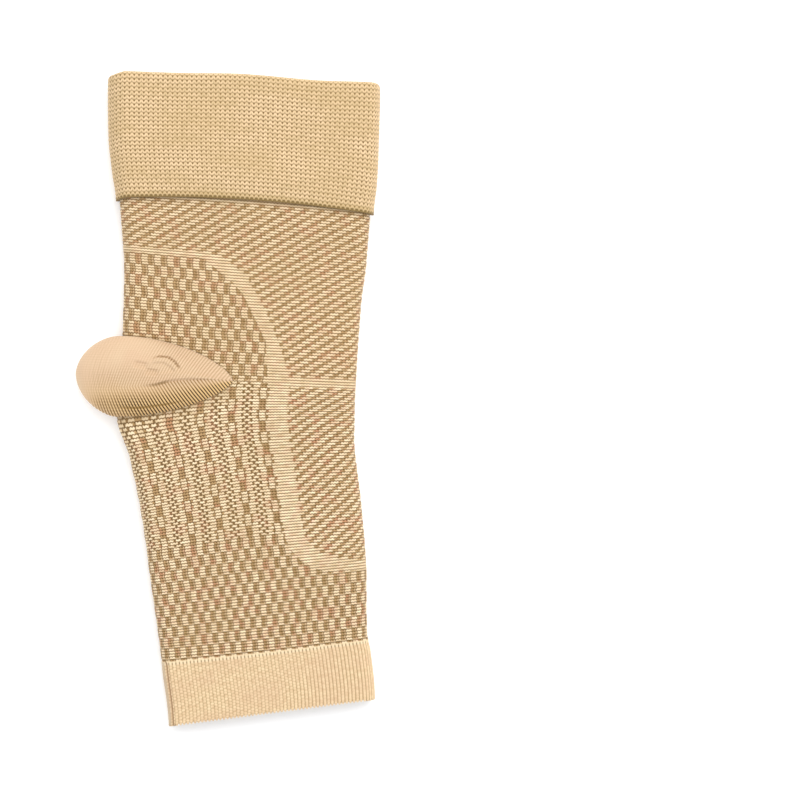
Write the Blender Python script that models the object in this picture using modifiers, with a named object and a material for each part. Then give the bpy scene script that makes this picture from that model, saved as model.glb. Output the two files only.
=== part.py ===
"""Knitted compression ankle brace, lying flat on its side.

The brace is a tube of elastic knit with an open heel end and an open toe end:
a doubled cuff at the top, the leg part, the heel pocket, the foot part and a
narrow band at the toe end. It lies flattened on the XY plane with +Y towards
the cuff, the shin and instep on the right and the heel pocket on the left.
All sizes are in metres.
"""

import math
from collections import namedtuple

import bmesh
import bpy
from mathutils import Vector

# Lengths along the brace
CUFF_HEIGHT = 0.0456
LEG_LENGTH = 0.0612
FOOT_LENGTH = 0.0954
BAND_HEIGHT = 0.0215

# Widths of the flattened tube
CUFF_WIDTH = 0.0961
ANKLE_WIDTH = 0.0831
FOOT_WIDTH = 0.0766
BAND_WIDTH = 0.0738

# Heights of the flattened tube above the surface that it lies on
CUFF_LOFT = 0.0132
LEG_LOFT = 0.0102
BAND_LOFT = 0.0094

# Walls, gaps and the lap of the leg part between the two layers of the cuff
KNIT_WALL = 0.0011
CUFF_LAYER = 0.0010
BAND_WALL = 0.0011
HEEL_WALL = 0.0011
LAP_CLEARANCE = 0.0003
JOIN_GAP = 0.0003
LAP_DEPTH = 0.0026
LAP_EASE = 0.0130

# Rounding of the two folds: the heel side rolls over, the shin side is a sharper fold
CUFF_BACK_ROLL = 0.0072
BODY_BACK_ROLL = 0.0048
BAND_BACK_ROLL = 0.0036
FRONT_ROLL = 0.0042
FOLD_HEIGHT_SHARE = 0.42

# How the foot part swings towards the shin side, and how the courses slope
FOOT_SWING = 0.0118
LEG_LEAN = 0.0024
CUFF_TILT = -2.9
ANKLE_TILT = -0.75
BAND_TILT = 7.4

# Heel pocket: its opening in the tube, and the cup that stands out of it
HEEL_OPENING_DEPTH = 0.0399
HEEL_OPENING_UPPER = 0.0146
HEEL_OPENING_LOWER = 0.0122
HEEL_REACH = 0.0155
HEEL_LOFT = 0.0168
HEEL_LIFT = 0.0014
HEEL_LIP_POWER = 0.65
HEEL_FULLNESS = 0.84

# Facets
HEEL_COLUMNS = 9
INSTEP_COLUMNS = 7
FOLD_COLUMNS = 4
HEEL_CROSS_STEPS = 16
CUFF_FOLD_STEPS = 4

Section = namedtuple("Section", "along shift width tilt base top back_roll")
Column = namedtuple("Column", "run share")
Dent = namedtuple("Dent", "across along wide long depth")
ApexPoint = namedtuple("ApexPoint", "reach height")

BAND_TOP = BAND_HEIGHT
ANKLE_LINE = BAND_HEIGHT + FOOT_LENGTH
CUFF_SEAM = ANKLE_LINE + LEG_LENGTH
CUFF_TOP = CUFF_SEAM + CUFF_HEIGHT
LAP_INSET = CUFF_LAYER + LAP_CLEARANCE
CUFF_INNER_INSET = LAP_INSET + KNIT_WALL + LAP_CLEARANCE
CUFF_SEAM_WIDTH = 0.948 * CUFF_WIDTH
CUFF_SEAM_LOFT = 0.97 * CUFF_LOFT
DENT_DEPTH = 0.0011

# The outside of the cuff, from its seam to its rolled top
CUFF_SECTIONS = (
    Section(CUFF_SEAM, 0.98 * LEG_LEAN, CUFF_SEAM_WIDTH, CUFF_TILT,
            0, CUFF_SEAM_LOFT, 0.86 * CUFF_BACK_ROLL),
    Section(CUFF_SEAM + 0.22 * CUFF_HEIGHT, 0.90 * LEG_LEAN, 0.973 * CUFF_WIDTH, CUFF_TILT,
            0, 0.99 * CUFF_LOFT, 0.95 * CUFF_BACK_ROLL),
    Section(CUFF_SEAM + 0.50 * CUFF_HEIGHT, 0.81 * LEG_LEAN, 0.993 * CUFF_WIDTH, 0.92 * CUFF_TILT,
            0, CUFF_LOFT, CUFF_BACK_ROLL),
    Section(CUFF_TOP, 0.88 * LEG_LEAN, CUFF_WIDTH, 0.90 * CUFF_TILT,
            0, CUFF_LOFT, CUFF_BACK_ROLL),
)

# The outside of the knit tube, from the toe end to the lap inside the cuff
TUBE_SECTIONS = (
    Section(0, FOOT_SWING, 0.995 * BAND_WIDTH, BAND_TILT,
            0, BAND_LOFT, 0.9 * BAND_BACK_ROLL),
    Section(0.85 * BAND_TOP, 0.84 * FOOT_SWING, BAND_WIDTH, 0.85 * BAND_TILT,
            0, BAND_LOFT, BAND_BACK_ROLL),
    Section(BAND_TOP, 0.80 * FOOT_SWING, 0.994 * BAND_WIDTH, 0.81 * BAND_TILT,
            0, BAND_LOFT, BAND_BACK_ROLL),
    Section(BAND_TOP + 0.31 * FOOT_LENGTH, 0.585 * FOOT_SWING, FOOT_WIDTH, 0.53 * BAND_TILT,
            0, 0.97 * LEG_LOFT, BODY_BACK_ROLL),
    Section(BAND_TOP + 0.54 * FOOT_LENGTH, 0.375 * FOOT_SWING, 1.017 * FOOT_WIDTH, 0.40 * BAND_TILT,
            0, LEG_LOFT, BODY_BACK_ROLL),
    Section(BAND_TOP + 0.74 * FOOT_LENGTH, 0.10 * FOOT_SWING, 0.961 * ANKLE_WIDTH, 0.20 * BAND_TILT,
            0, LEG_LOFT, BODY_BACK_ROLL),
    Section(BAND_TOP + 0.86 * FOOT_LENGTH, -0.07 * FOOT_SWING, 1.01 * ANKLE_WIDTH, 0.05 * BAND_TILT,
            0, LEG_LOFT, BODY_BACK_ROLL),
    Section(ANKLE_LINE, 0, ANKLE_WIDTH, ANKLE_TILT,
            0, LEG_LOFT, BODY_BACK_ROLL),
    Section(ANKLE_LINE + 0.47 * LEG_LENGTH, 0.62 * LEG_LEAN, 1.011 * ANKLE_WIDTH, 0.55 * CUFF_TILT,
            0, LEG_LOFT, BODY_BACK_ROLL),
    Section(ANKLE_LINE + 0.71 * LEG_LENGTH, LEG_LEAN, 1.034 * ANKLE_WIDTH, 0.72 * CUFF_TILT,
            0, LEG_LOFT, BODY_BACK_ROLL),
    Section(CUFF_SEAM - 0.2 * LAP_EASE, LEG_LEAN, CUFF_SEAM_WIDTH - 2.2 * LAP_INSET, CUFF_TILT,
            0.9 * LAP_INSET, CUFF_SEAM_LOFT - 1.1 * LAP_INSET, 0.86 * CUFF_BACK_ROLL - LAP_INSET),
    Section(CUFF_SEAM, 0.98 * LEG_LEAN, CUFF_SEAM_WIDTH - 2 * LAP_INSET, CUFF_TILT,
            LAP_INSET, CUFF_SEAM_LOFT - LAP_INSET, 0.86 * CUFF_BACK_ROLL - LAP_INSET),
)

# Soft dents and swells of the upper layer. The places are shares of the width and of
# the whole length, the sizes shares of the same, and the depths shares of DENT_DEPTH.
DENTS = (
    Dent(across=-0.25, along=0.955, wide=0.22, long=0.040, depth=0.55),
    Dent(across=0.30, along=0.900, wide=0.25, long=0.035, depth=0.45),
    Dent(across=0.05, along=0.845, wide=0.55, long=0.030, depth=-0.50),
    Dent(across=0.55, along=0.700, wide=0.30, long=0.050, depth=0.60),
    Dent(across=-0.10, along=0.640, wide=0.35, long=0.045, depth=-0.45),
    Dent(across=0.62, along=0.523, wide=0.40, long=0.012, depth=0.90),
    Dent(across=0.10, along=0.400, wide=0.30, long=0.060, depth=0.50),
    Dent(across=-0.35, along=0.280, wide=0.25, long=0.060, depth=-0.40),
    Dent(across=0.30, along=0.200, wide=0.30, long=0.050, depth=0.30),
)

# The ridge line of the heel pocket, from the tip on the upper layer round the back of
# the heel to the tip on the lower layer: reach is a share of the way from the tip to
# the outermost point, height a share of HEEL_LOFT.
HEEL_APEX = (
    ApexPoint(reach=0.01, height=0.60),
    ApexPoint(reach=0.16, height=0.80),
    ApexPoint(reach=0.36, height=0.95),
    ApexPoint(reach=0.60, height=1.00),
    ApexPoint(reach=0.82, height=0.90),
    ApexPoint(reach=0.96, height=0.66),
    ApexPoint(reach=1.00, height=0.40),
    ApexPoint(reach=0.97, height=0.16),
    ApexPoint(reach=0.88, height=0.02),
    ApexPoint(reach=0.60, height=0.00),
    ApexPoint(reach=0.30, height=0.00),
    ApexPoint(reach=0.01, height=0.00),
)

# Creases pressed into the upper side of the heel pocket: across runs from the upper
# lip (0) to the lower lip (1), along from the front tip (0) to the back tip (1), and
# the depths are shares of HEEL_CREASE.
HEEL_CREASE = 0.0024
HEEL_DENTS = (
    Dent(across=0.34, along=0.155, wide=0.080, long=0.050, depth=1.00),
    Dent(across=0.56, along=0.200, wide=0.055, long=0.090, depth=0.60),
    Dent(across=0.70, along=0.330, wide=0.060, long=0.120, depth=0.35),
)


def hermite(values, places, at):
    """A smooth curve through values at places that never runs past them, read at one place."""
    if at <= places[0]:
        return values[0]
    if at >= places[-1]:
        return values[-1]
    k = max(i for i in range(len(places) - 1) if places[i] <= at)

    def slope(i):
        if i in (0, len(places) - 1):
            return 0.0
        before = (values[i] - values[i - 1]) / (places[i] - places[i - 1])
        after = (values[i + 1] - values[i]) / (places[i + 1] - places[i])
        if before * after <= 0:
            return 0.0
        return 2 * before * after / (before + after)

    span = places[k + 1] - places[k]
    t = (at - places[k]) / span
    return (
        values[k] * (1 + 2 * t) * (1 - t) ** 2
        + slope(k) * span * t * (1 - t) ** 2
        + values[k + 1] * t * t * (3 - 2 * t)
        + slope(k + 1) * span * t * t * (t - 1)
    )


def section_at(sections, along):
    """The flattened cross-section at one place along the brace."""
    places = [s.along for s in sections]
    read = [hermite([s[i] for s in sections], places, along) for i in range(1, len(Section._fields))]
    return Section(along, *read)


def layer_lift(across, along):
    """How far the upper layer stands above or below its plain height."""
    lift = 0.0
    for dent in DENTS:
        x = (across - dent.across) / dent.wide
        y = (along / CUFF_TOP - dent.along) / dent.long
        lift -= dent.depth * DENT_DEPTH * math.exp(-x * x - y * y)
    inside = max(0.0, 1 - across * across)
    return lift * min(1.0, 3 * inside)


def columns():
    """The lines that run along the tube. They start at the front tip of the heel opening, go
    round the heel fold to its back tip, and come back round the shin fold."""
    found = []
    for run, count in (
        ("top_heel", HEEL_COLUMNS),
        ("back_up", FOLD_COLUMNS),
        ("back_down", FOLD_COLUMNS),
        ("under_heel", HEEL_COLUMNS),
        ("under_instep", INSTEP_COLUMNS),
        ("front_down", FOLD_COLUMNS),
        ("front_up", FOLD_COLUMNS),
        ("top_instep", INSTEP_COLUMNS),
    ):
        found += [Column(run, k / count) for k in range(count)]
    return found


COLUMNS = columns()
BACK_TIP = 2 * (HEEL_COLUMNS + FOLD_COLUMNS)


def local_point(column, section, inset):
    """Across and up of one column of a section, that far inside its outer surface."""
    half = section.width / 2 - inset
    low = section.base + inset
    high = section.top - inset
    fold = low + (high - low) * FOLD_HEIGHT_SHARE
    back = max(section.back_roll - inset, HEEL_WALL)
    front = max(FRONT_ROLL - inset, HEEL_WALL)
    back_end = back - half
    front_end = half - front
    tip = HEEL_OPENING_DEPTH - section.width / 2
    turn = column.share * math.pi / 2
    if column.run == "top_heel":
        x = tip + (back_end - tip) * column.share**2
        return x, high + layer_lift(x / half, section.along)
    if column.run == "back_up":
        return back_end - back * math.sin(turn), fold + (high - fold) * math.cos(turn)
    if column.run == "back_down":
        return back_end - back * math.cos(turn), fold - (fold - low) * math.sin(turn)
    if column.run == "under_heel":
        return tip + (back_end - tip) * (1 - column.share) ** 2, low
    if column.run == "under_instep":
        return tip + (front_end - tip) * column.share, low
    if column.run == "front_down":
        return front_end + front * math.sin(turn), fold - (fold - low) * math.cos(turn)
    if column.run == "front_up":
        return front_end + front * math.cos(turn), fold + (high - fold) * math.sin(turn)
    x = front_end + (tip - front_end) * column.share
    return x, high + layer_lift(x / half, section.along)


def tube_point(sections, column, along, inset=0.0):
    """A point of the tube in space."""
    section = section_at(sections, along)
    x, z = local_point(column, section, inset)
    tilt = math.radians(section.tilt)
    return Vector((section.shift + x * math.cos(tilt), along + x * math.sin(tilt), z))


def heel_opening_share(column):
    """How far the heel opening gapes at a column: nothing at its tips, all at the fold."""
    section = section_at(TUBE_SECTIONS, ANKLE_LINE)
    x, _ = local_point(column, section, 0.0)
    if column.run in ("under_instep", "front_down", "front_up", "top_instep"):
        return 0.0
    tip = HEEL_OPENING_DEPTH - section.width / 2
    share = min(1.0, max(0.0, (tip - x) / HEEL_OPENING_DEPTH))
    return (1 - (1 - share) ** 2) ** HEEL_LIP_POWER


def add_sheet(name, rows, wall, offset, closed, colour, roughness):
    """A knitted sheet lofted through rows of points, given its wall by Solidify."""
    mesh = bpy.data.meshes.new(name)
    build = bmesh.new()
    grid = [[build.verts.new(point) for point in row] for row in rows]
    around = len(rows[0])
    for lower, upper in zip(grid, grid[1:]):
        for i in range(around if closed else around - 1):
            k = (i + 1) % around
            build.faces.new((lower[i], upper[i], upper[k], lower[k]))
    build.to_mesh(mesh)
    build.free()
    mesh.shade_smooth()
    mesh.set_sharp_from_angle(angle=math.radians(50))
    sheet = bpy.data.objects.new(name, mesh)
    sheet.data.materials.append(knit_material(name, colour, roughness))
    thickness = sheet.modifiers.new("wall", "SOLIDIFY")
    thickness.thickness = wall
    thickness.offset = offset
    thickness.use_even_offset = True
    return sheet


def knit_material(name, colour, roughness):
    material = bpy.data.materials.new(name)
    material.use_nodes = True
    shader = material.node_tree.nodes["Principled BSDF"]
    shader.inputs["Base Color"].default_value = (*colour, 1)
    shader.inputs["Roughness"].default_value = roughness
    shader.inputs["Metallic"].default_value = 0.0
    return material


def leg_cuff():
    """The doubled band: an outer layer, a fold at the top and an inner layer, open below so
    that the leg part's edge sits between the two."""
    outer = CUFF_LAYER / 2
    inner = CUFF_INNER_INSET + CUFF_LAYER / 2
    radius = (inner - outer) / 2
    fold_line = CUFF_TOP - radius - CUFF_LAYER / 2
    height = fold_line - CUFF_SEAM
    shares = (0, 0.06, 0.2, 0.4, 0.6, 0.8, 1)
    path = [(CUFF_SEAM + height * share, outer) for share in shares]
    for step in range(1, CUFF_FOLD_STEPS):
        turn = math.pi * step / CUFF_FOLD_STEPS
        path.append((fold_line + radius * math.sin(turn), outer + radius * (1 - math.cos(turn))))
    path += [(CUFF_SEAM + height * share, inner) for share in reversed(shares)]
    rows = [
        [tube_point(CUFF_SECTIONS, column, along, inset) for column in COLUMNS]
        for along, inset in path
    ]
    return add_sheet("leg_cuff", rows, CUFF_LAYER, 0.0, True, (0.74, 0.51, 0.28), 0.9)


def leg_point(column, along):
    """A point of the leg part's outer face: above the seam it follows the cuff from inside."""
    if along >= CUFF_SEAM:
        return tube_point(CUFF_SECTIONS, column, along, LAP_INSET)
    return tube_point(TUBE_SECTIONS, column, along)


def leg_sleeve():
    """From the ankle line and the upper lip of the heel opening up into the cuff."""
    open_top = CUFF_SEAM - 0.2 * LAP_EASE
    steps = 8
    rows = []
    for step in range(steps + 1):
        row = []
        for column in COLUMNS:
            low = ANKLE_LINE + JOIN_GAP / 2 + HEEL_OPENING_UPPER * heel_opening_share(column)
            row.append(leg_point(column, low + (open_top - low) * step / steps))
        rows.append(row)
    for along in (CUFF_SEAM, CUFF_SEAM + 0.5 * LAP_DEPTH, CUFF_SEAM + LAP_DEPTH):
        rows.append([leg_point(column, along) for column in COLUMNS])
    return add_sheet("leg_sleeve", rows, KNIT_WALL, -1.0, True, (0.60, 0.40, 0.22), 0.88)


def foot_sleeve():
    """From the toe band up to the ankle line and the lower lip of the heel opening."""
    low = BAND_TOP + JOIN_GAP / 2
    steps = 11
    rows = []
    for step in range(steps + 1):
        row = []
        for column in COLUMNS:
            top = ANKLE_LINE - JOIN_GAP / 2 - HEEL_OPENING_LOWER * heel_opening_share(column)
            row.append(tube_point(TUBE_SECTIONS, column, low + (top - low) * step / steps))
        rows.append(row)
    return add_sheet("foot_sleeve", rows, KNIT_WALL, -1.0, True, (0.60, 0.40, 0.22), 0.88)


def foot_band():
    """The plain fine-knit band at the toe end."""
    top = BAND_TOP - JOIN_GAP / 2
    steps = 3
    rows = [
        [tube_point(TUBE_SECTIONS, column, top * step / steps) for column in COLUMNS]
        for step in range(steps + 1)
    ]
    return add_sheet("foot_band", rows, BAND_WALL, -1.0, True, (0.84, 0.60, 0.35), 0.85)


def apex_point(share, along):
    """The ridge of the heel pocket at a share of the way from the front tip to the back tip."""
    places = [k / (len(HEEL_APEX) - 1) for k in range(len(HEEL_APEX))]
    reach = hermite([p.reach for p in HEEL_APEX], places, share)
    height = hermite([p.height for p in HEEL_APEX], places, share)
    section = section_at(TUBE_SECTIONS, ANKLE_LINE)
    tip = section.shift + HEEL_OPENING_DEPTH - section.width / 2
    x = tip - reach * (HEEL_OPENING_DEPTH + HEEL_REACH)
    return Vector((x, along + reach * HEEL_LIFT, height * HEEL_LOFT))


def crease_depth(across, along):
    depth = 0.0
    for dent in HEEL_DENTS:
        x = (across - dent.across) / dent.wide
        y = (along - dent.along) / dent.long
        depth += dent.depth * HEEL_CREASE * math.exp(-x * x - y * y)
    return depth


def heel_pocket():
    """The cup for the heel: a spindle-shaped sheet whose two long edges follow the lips of the
    opening, and whose middle stands out of it."""
    rows = []
    for k in range(1, BACK_TIP):
        column = COLUMNS[k]
        share = (k - 1) / (BACK_TIP - 2)
        above = HEEL_OPENING_UPPER * heel_opening_share(column) - JOIN_GAP
        below = HEEL_OPENING_LOWER * heel_opening_share(column) - JOIN_GAP
        upper = tube_point(TUBE_SECTIONS, column, ANKLE_LINE + above, KNIT_WALL / 2)
        lower = tube_point(TUBE_SECTIONS, column, ANKLE_LINE - below, KNIT_WALL / 2)
        middle = (upper + lower) / 2
        bulge = apex_point(share, middle.y) - middle
        row = []
        for step in range(HEEL_CROSS_STEPS + 1):
            turn = math.pi * step / HEEL_CROSS_STEPS
            side = math.copysign(abs(math.cos(turn)) ** HEEL_FULLNESS, math.cos(turn))
            out = math.sin(turn) ** HEEL_FULLNESS if 0 < step < HEEL_CROSS_STEPS else 0
            point = middle + (upper - lower) / 2 * side + bulge * out
            point.z -= crease_depth(step / HEEL_CROSS_STEPS, share)
            row.append(point)
        rows.append(row)
    return add_sheet("heel_pocket", rows, HEEL_WALL, -1.0, False, (0.80, 0.55, 0.32), 0.85)


def centre_over_origin(parts):
    """Sets the brace on z = 0 with the middle of its outline over the origin."""
    frame = bpy.data.objects.new("ankle_brace", None)
    bpy.context.scene.collection.objects.link(frame)
    bpy.context.view_layer.update()
    graph = bpy.context.evaluated_depsgraph_get()
    corners = [Vector(c) for part in parts for c in part.evaluated_get(graph).bound_box]
    low = Vector(min(c[i] for c in corners) for i in range(3))
    high = Vector(max(c[i] for c in corners) for i in range(3))
    frame.location = (-(low.x + high.x) / 2, -(low.y + high.y) / 2, -low.z)
    for part in parts:
        part.parent = frame


def main():
    for old in list(bpy.data.objects):
        bpy.data.objects.remove(old)
    collection = bpy.data.collections.new("ankle_brace_parts")
    bpy.context.scene.collection.children.link(collection)
    parts = [leg_cuff(), leg_sleeve(), heel_pocket(), foot_sleeve(), foot_band()]
    for part in parts:
        collection.objects.link(part)
    centre_over_origin(parts)


main()
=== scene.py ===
import math

import bpy
import numpy as np
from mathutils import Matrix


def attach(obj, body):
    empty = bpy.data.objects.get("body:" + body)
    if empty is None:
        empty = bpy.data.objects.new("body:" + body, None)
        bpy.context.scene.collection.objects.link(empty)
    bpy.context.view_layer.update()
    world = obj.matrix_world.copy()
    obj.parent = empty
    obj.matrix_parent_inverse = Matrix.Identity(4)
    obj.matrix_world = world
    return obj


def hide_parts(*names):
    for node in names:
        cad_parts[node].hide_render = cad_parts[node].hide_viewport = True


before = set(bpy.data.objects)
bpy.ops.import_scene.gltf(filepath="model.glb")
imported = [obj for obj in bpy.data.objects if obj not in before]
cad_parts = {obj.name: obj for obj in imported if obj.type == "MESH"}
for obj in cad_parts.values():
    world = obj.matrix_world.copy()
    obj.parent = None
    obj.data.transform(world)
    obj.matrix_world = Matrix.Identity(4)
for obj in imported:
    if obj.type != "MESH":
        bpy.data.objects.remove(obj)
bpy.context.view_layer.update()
bpy.ops.object.select_all(action="DESELECT")

# View and light. The camera looks straight down on the brace. It lies on a white table under
# one wide soft light beyond the cuff's end and an even white room. The table glows a little,
# though it is no lamp: painted light that keeps the brace's shadow on it faint.
PICTURE_WIDTH = 0.2816
PICTURE_CENTRE = (0.0604, -0.00035)
CAMERA_HEIGHT = 1.4
SURFACE_HEIGHT = 0.005
SENSOR = 36.0
bpy.ops.object.camera_add(location=(*PICTURE_CENTRE, CAMERA_HEIGHT), rotation=(0, 0, 0))
camera = bpy.context.object
camera.name = "camera"
camera.data.sensor_width = SENSOR
camera.data.lens = SENSOR * (CAMERA_HEIGHT - SURFACE_HEIGHT) / PICTURE_WIDTH
camera.data.clip_end = 10
bpy.context.scene.camera = camera

bpy.ops.mesh.primitive_plane_add(size=6, location=(0, 0, 0))
table = bpy.context.object
table.name = "table_top"
table_paint = bpy.data.materials.new("glowing_white_table")
table_paint.use_nodes = True
table_shader = table_paint.node_tree.nodes["Principled BSDF"]
table_shader.inputs["Base Color"].default_value = (0.98, 0.98, 0.98, 1)
table_shader.inputs["Roughness"].default_value = 0.9
table_shader.inputs["Specular IOR Level"].default_value = 0.0
# Painted light: the table glows a little, so that the brace's shadow on it stays faint.
table_shader.inputs["Emission Color"].default_value = (1, 1, 1, 1)
table_shader.inputs["Emission Strength"].default_value = 0.14
table.data.materials.append(table_paint)

bpy.ops.object.light_add(type="AREA", location=(0.40, 0.66, 1.0))
softbox = bpy.context.object
softbox.name = "softbox"
softbox.data.size = 1.1
softbox.data.energy = 9.4
softbox.rotation_euler = (math.radians(-31), math.radians(20), 0)
room = bpy.data.worlds.new("white_room")
room.use_nodes = True
room.node_tree.nodes["Background"].inputs["Color"].default_value = (0.96, 0.98, 1.0, 1)
room.node_tree.nodes["Background"].inputs["Strength"].default_value = 1.06
bpy.context.scene.world = room
bpy.context.scene.view_settings.view_transform = "Standard"

# Leg cuff: the doubled band at the top, plain knit of thick elastic yarn. It is turned over at
# its upper edge and linked down, with the leg's edge between its two layers.
BRACE_X = 3.466
BRACE_Y = -110.560
MILLIMETRE = 0.001
CUFF_SEAM = 178.1
CUFF_TOP = 223.7
CUFF_COURSES = 30
CUFF_COURSE = (CUFF_TOP - CUFF_SEAM) / CUFF_COURSES
CUFF_LAYER = 1.0
CUFF_INNER_INSET = 2.7
CUFF_FOLD = (CUFF_INNER_INSET + CUFF_LAYER) / 2
CUFF_FOLD_START = CUFF_TOP - CUFF_FOLD
CUFF_BOW = 2.3
CUFF_STEPS = 5
FOLD_HEIGHT_SHARE = 0.42
FRONT_ROLL = 4.2
ROLL_POINTS = 13
WALES = 63
STITCH_DEPTH = 0.36
CUFF_YARN = (0.78, 0.56, 0.335)
CUFF_SHADE = (0.50, 0.36, 0.18)
CUFF_GAP_SHADE = (0.20, 0.12, 0.04)
CUFF_OLIVE = (0.45, 0.31, 0.13)
CUFF_EDGE_SHADE = (0.40, 0.275, 0.105)
LINKING_SHADE = (0.15, 0.09, 0.022)
INNER_SHADE = (0.24, 0.15, 0.065)
# Lengths are in millimetres. A row of a shape table is: along from the toe end, shift to the
# right, width, tilt in degrees, base, top, and the roll of the back fold.
CUFF_SHAPE = np.array([
    (CUFF_SEAM, 2.35, 91.1, -2.9, 0.0, 12.8, 6.2),
    (188.1, 2.2, 93.5, -2.9, 0.0, 13.1, 6.8),
    (200.9, 1.9, 95.4, -2.7, 0.0, 13.2, 7.2),
    (CUFF_TOP, 2.1, 96.1, -2.6, 0.0, 13.2, 7.2),
])
# Wide shallow dents of the whole brace, and swells where the depth is negative: across as a
# share of half the width, along, half width, half length, depth.
DENTS = (
    (-0.25, 213.6, 0.22, 8.9, 0.6),
    (0.30, 201.3, 0.25, 7.8, 0.5),
    (0.05, 189.0, 0.55, 6.7, -0.55),
    (0.55, 156.6, 0.30, 11.2, 0.65),
    (-0.10, 143.2, 0.35, 10.1, -0.5),
    (0.62, 117.0, 0.40, 2.7, 1.0),
    (0.10, 89.5, 0.30, 13.4, 0.55),
    (-0.35, 62.6, 0.25, 13.4, -0.45),
    (0.30, 44.7, 0.30, 11.2, 0.35),
)


class Wire:
    """One output of a shader node, so that a pattern can be written as plain arithmetic."""

    def __init__(self, tree, socket):
        self.tree = tree
        self.socket = socket

    def node(self, kind, settings=None, values=None, out=0):
        """Adds a node of this kind, sets it up, and joins its inputs, which go by name or place.
        The stops of a ramp are a setting too, as places from 0 to 1 and their greys."""
        made = self.tree.nodes.new("ShaderNode" + kind)
        for name, value in (settings or {}).items():
            if name == "stops":
                for place, _ in value[1:-1]:
                    made.color_ramp.elements.new(place)
                for stop, (place, grey) in zip(made.color_ramp.elements, value):
                    stop.color = (grey, grey, grey, 1)
            else:
                setattr(made, name, value)
        for name, value in (values or {}).items():
            if isinstance(value, Wire):
                self.tree.links.new(value.socket, made.inputs[name])
            else:
                made.inputs[name].default_value = value
        return Wire(self.tree, made.outputs[out])

    def maths(self, operation, *values):
        return self.node("Math", {"operation": operation}, dict(enumerate(values)))

    def __add__(self, other):
        return self.maths("ADD", self, other)

    def __sub__(self, other):
        return self.maths("SUBTRACT", self, other)

    def __mul__(self, other):
        return self.maths("MULTIPLY", self, other)

    def __truediv__(self, other):
        return self.maths("DIVIDE", self, other)

    def __radd__(self, other):
        return self.maths("ADD", other, self)

    def __rsub__(self, other):
        return self.maths("SUBTRACT", other, self)

    def __rmul__(self, other):
        return self.maths("MULTIPLY", other, self)

    def __pow__(self, other):
        return self.maths("POWER", self, other)

    def __abs__(self):
        return self.maths("ABSOLUTE", self)


def part(x):
    """What x has over a whole number. Like all the pattern functions below, it takes an array of
    numbers, for the relief, or a shader wire, for the colour."""
    return x.maths("FRACT", x) if isinstance(x, Wire) else x - np.floor(x)


def most(x, y):
    return x.maths("MAXIMUM", x, y) if isinstance(x, Wire) else np.maximum(x, y)


def rise(x, low, high):
    """Nought at low and one at high, with a smooth rise between, also where high is the less."""
    if isinstance(x, Wire):
        ends = {"From Min": low, "From Max": high, "Value": x}
        return x.node("MapRange", {"interpolation_type": "SMOOTHSTEP"}, ends)
    t = np.clip((x - low) / (high - low), 0, 1)
    return t * t * (3 - 2 * t)


def ridge(x):
    """The round back of a yarn across one stitch: one in the middle and nought at both ends."""
    return 4 * x * (1 - x)


def smooth_table(table, at):
    """Each column of a table read at these places, by a smooth curve that never runs past it."""
    x = table[:, 0]
    step = np.diff(x)
    climb = np.diff(table, axis=0) / step[:, None]
    slope = np.zeros_like(table)
    before, after = climb[:-1], climb[1:]
    same = before * after > 0
    slope[1:-1] = np.where(same, 2 * before * after / np.where(same, before + after, 1), 0)
    at = np.clip(at, x[0], x[-1])
    k = np.clip(np.searchsorted(x, at, side="right") - 1, 0, len(x) - 2)
    t = ((at - x[k]) / step[k])[:, None]
    span = step[k][:, None]
    return (
        table[k] * (1 + 2 * t) * (1 - t) ** 2
        + slope[k] * span * t * (1 - t) ** 2
        + table[k + 1] * t * t * (3 - 2 * t)
        + slope[k + 1] * span * t * t * (t - 1)
    )


def outline(shape, wales, along):
    """Across, up and the two parts of the outward direction at each wale, for one place along
    the flattened tube. Wales run from the back fold over the top and back underneath."""
    width, base, top, roll = smooth_table(shape, np.array([along]))[0, [2, 4, 5, 6]]
    half = width / 2
    fold = base + (top - base) * FOLD_HEIGHT_SHARE
    turn = np.linspace(0, math.pi / 2, ROLL_POINTS)
    found = []
    for side, radius, height, order in (
        (-1, roll, top - fold, turn),
        (1, FRONT_ROLL, top - fold, turn[::-1]),
        (1, FRONT_ROLL, base - fold, turn[1:]),
        (-1, roll, base - fold, turn[::-1]),
    ):
        out = np.array([side * np.cos(order) / radius, np.sin(order) / height])
        out /= np.hypot(*out)
        x = side * (half - radius + radius * np.cos(order))
        found.append(np.array([x, fold + height * np.sin(order), *out]))
    found = np.concatenate(found, axis=1)
    length = np.append(0, np.cumsum(np.hypot(*np.diff(found[:2], axis=1))))
    front = length[2 * len(turn) - 1]
    on_top = np.minimum(wales, WALES) / WALES * front
    below = np.maximum(wales - WALES, 0) / WALES * (length[-1] - front)
    return np.array([np.interp(on_top + below, length, row) for row in found])


def read_skin(shape, wales, along):
    """Across, up, outward direction and the shape table's values for each ring and wale."""
    stations = np.arange(math.floor(along.min()) - 1, along.max() + 2)
    skin = np.array([outline(shape, wales, station) for station in stations])
    k = (along - stations[0]).astype(int)
    t = along - stations[0] - k
    column = np.arange(len(wales))[None, :]
    read = [skin[k, i, column] * (1 - t) + skin[k + 1, i, column] * t for i in range(4)]
    return *read, smooth_table(shape, along.ravel()).reshape(*along.shape, -1)


def tube_points(shape, wales, along, inset):
    """Points on or inside the tube. Along and inset have a row for each ring of the knit and a
    column for each wale."""
    x, z, out_x, out_z, section = read_skin(shape, wales, along)
    across = x / (section[..., 2] / 2)
    for place, mid, wide, long, depth in DENTS:
        dent = np.exp(-(((across - place) / wide) ** 2) - ((along - mid) / long) ** 2)
        z -= depth * dent * np.clip(out_z, 0, 1) * np.minimum(1, 3 * (1 - across**2))
    tilt = np.radians(section[..., 3])
    x -= out_x * inset
    z -= out_z * inset
    return np.stack([section[..., 1] + x * np.cos(tilt), along + x * np.sin(tilt), z], axis=-1)


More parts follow.
